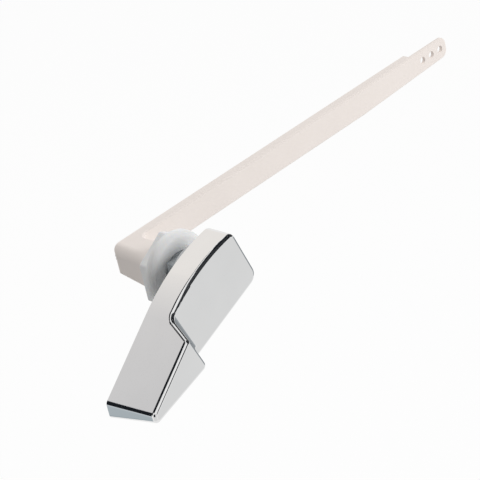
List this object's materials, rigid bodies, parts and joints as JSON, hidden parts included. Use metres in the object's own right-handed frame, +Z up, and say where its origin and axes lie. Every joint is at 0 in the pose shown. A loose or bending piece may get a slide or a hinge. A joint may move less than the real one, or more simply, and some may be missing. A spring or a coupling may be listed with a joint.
{
  "type": "cistern lever",
  "caption": "Front-mount cistern flush lever: chromed stepped handle on a spindle, threaded wall bushing with flanged hex nut, and a long moulded flush arm with chain holes.",
  "frame": {"origin": "on the spindle axis, in the plane of the tank wall's outer face, where the seat washer bears", "axes": "+X along the flush arm at rest, +Y along the spindle into the tank, +Z up"},
  "size_m": [0.2549, 0.0691, 0.0463],
  "materials": {
    "chrome_plate": "polished",
    "spindle_steel": "satin",
    "screw_steel": "gloss",
    "ivory_plastic": "satin",
    "white_plastic": "satin",
    "grey_plastic": "satin",
    "washer_rubber": "matte"
  },
  "bodies": {
    "wall_fitting": {"mounting_bushing": "grey_plastic", "seat_washer": "washer_rubber"},
    "nut": {"mounting_nut": "white_plastic"},
    "lever": {"handle": "chrome_plate", "spindle": "spindle_steel", "flush_arm": "ivory_plastic", "arm_screw": "screw_steel"}
  },
  "joints": [
    {"name": "lever_turn", "type": "hinge", "parent": "wall_fitting", "child": "lever", "pos_m": [0, 0, 0], "axis": [0, -1, 0], "range_deg": [0, 35]},
    {"name": "nut_travel", "type": "slide", "parent": "wall_fitting", "child": "nut", "axis": [0, 1, 0], "range_m": [-0.001, 0.005]}
  ]
}
